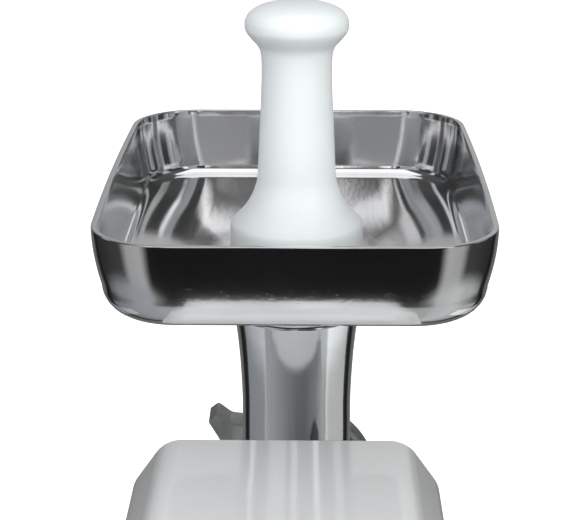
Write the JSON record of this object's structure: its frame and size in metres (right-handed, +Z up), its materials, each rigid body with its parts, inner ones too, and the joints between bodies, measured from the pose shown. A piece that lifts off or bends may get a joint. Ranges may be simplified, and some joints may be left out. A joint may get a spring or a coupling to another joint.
{
  "type": "electric meat grinder",
  "caption": "Countertop electric meat grinder with a metal head, feed tray and pusher, a bayonet socket and a geared motor in a chamfered housing.",
  "frame": {"origin": "on the table, below the middle of the whole machine's box", "axes": "+Z up, -Y towards the outlet, +Y towards the motor and rear cover, +X to the left when seen from behind"},
  "size_m": [0.166, 0.396, 0.3813],
  "materials": {
    "white_gloss": "glossy moulded plastic",
    "white_satin": "satin moulded plastic",
    "polished_aluminium": "polished, fine brush marks",
    "cast_aluminium": "as cast, tumbled",
    "steel": "ground",
    "nylon": "natural nylon",
    "rubber": "matte",
    "black_plastic": "fine texture",
    "grey_plastic": "fine texture",
    "bronze": "turned",
    "copper": "varnished copper",
    "lamination": "stacked sheet, varnished",
    "carbon": "pressed carbon"
  },
  "bodies": {
    "housing": {"base_plate": "black_plastic", "brush_holder_left": "bronze", "brush_holder_right": "bronze", "cable_gland": "rubber", "carbon_brush_left": "carbon", "carbon_brush_right": "carbon", "case_screw_1": "steel", "case_screw_2": "steel", "case_screw_3": "steel", "case_screw_4": "steel", "cover_screw_1": "steel", "cover_screw_2": "steel", "cover_screw_3": "steel", "cover_screw_4": "steel", "field_coil_lower": "copper", "field_coil_upper": "copper", "foot_1": "rubber", "foot_2": "rubber", "foot_3": "rubber", "foot_4": "rubber", "foot_screw_1": "steel", "foot_screw_2": "steel", "foot_screw_3": "steel", "foot_screw_4": "steel", "gearbox_case": "cast_aluminium", "gearbox_cover": "cast_aluminium", "housing_shell": "white_gloss", "idler_pin": "steel", "lock_spring": "steel", "motor_bolt_1": "steel", "motor_bolt_2": "steel", "motor_bracket": "black_plastic", "output_bush_front": "bronze", "output_bush_rear": "bronze", "rear_cover": "white_gloss", "rotor_bearing_front": "steel", "rotor_bearing_rear": "steel", "socket_collar": "cast_aluminium", "stator_core": "lamination", "switch_body": "black_plastic"},
    "head": {"head_casting": "polished_aluminium", "cutting_plate": "steel"},
    "ring_nut": {"ring_nut": "cast_aluminium"},
    "tray": {"tray": "polished_aluminium"},
    "pusher": {"pusher": "white_satin"},
    "drive": {"output_gear": "nylon", "drive_shaft": "steel", "auger": "cast_aluminium", "auger_coupling": "nylon", "coupling_screw": "steel", "knife": "steel"},
    "idler": {"idler_gear": "steel"},
    "rotor": {"rotor_shaft": "steel", "rotor_core": "lamination", "commutator": "copper", "cooling_fan": "black_plastic"},
    "switch_rocker": {"switch_rocker": "grey_plastic"},
    "lock_button": {"lock_button": "grey_plastic"}
  },
  "joints": [
    {"name": "drive_spin", "type": "hinge", "parent": "housing", "child": "drive", "pos_m": [0, 0, 0.128], "axis": [0, 1, 0], "continuous": true},
    {"name": "idler_spin", "type": "hinge", "parent": "housing", "child": "idler", "pos_m": [0, 0, 0.088], "axis": [0, 1, 0], "continuous": true},
    {"name": "rotor_spin", "type": "hinge", "parent": "housing", "child": "rotor", "pos_m": [0, 0, 0.052], "axis": [0, 1, 0], "continuous": true},
    {"name": "head_turn", "type": "hinge", "parent": "housing", "child": "head", "pos_m": [0, -0.086, 0.128], "axis": [0, 1, 0], "range_deg": [0, 45]},
    {"name": "ring_nut_turn", "type": "hinge", "parent": "head", "child": "ring_nut", "pos_m": [0, -0.1375, 0.128], "axis": [0, -1, 0], "range_deg": [0, 170]},
    {"name": "tray_lift", "type": "slide", "parent": "head", "child": "tray", "axis": [0, 0, 1], "range_m": [0, 0.06]},
    {"name": "pusher_lift", "type": "slide", "parent": "tray", "child": "pusher", "axis": [0, 0, 1], "range_m": [0, 0.13]},
    {"name": "switch_tip", "type": "hinge", "parent": "housing", "child": "switch_rocker", "pos_m": [0.068, 0.062, 0.15], "axis": [0, 0, 1], "range_deg": [-10, 10]},
    {"name": "lock_press", "type": "slide", "parent": "housing", "child": "lock_button", "axis": [0, 1, 0], "range_m": [0, 0.004], "stiffness_N_per_m": 300, "springref_m": -0.004, "deforming": ["lock_spring"]}
  ],
  "couplings": [
    {"joint": "idler_spin", "follows": "drive_spin", "ratio": -4},
    {"joint": "rotor_spin", "follows": "drive_spin", "ratio": 20}
  ]
}
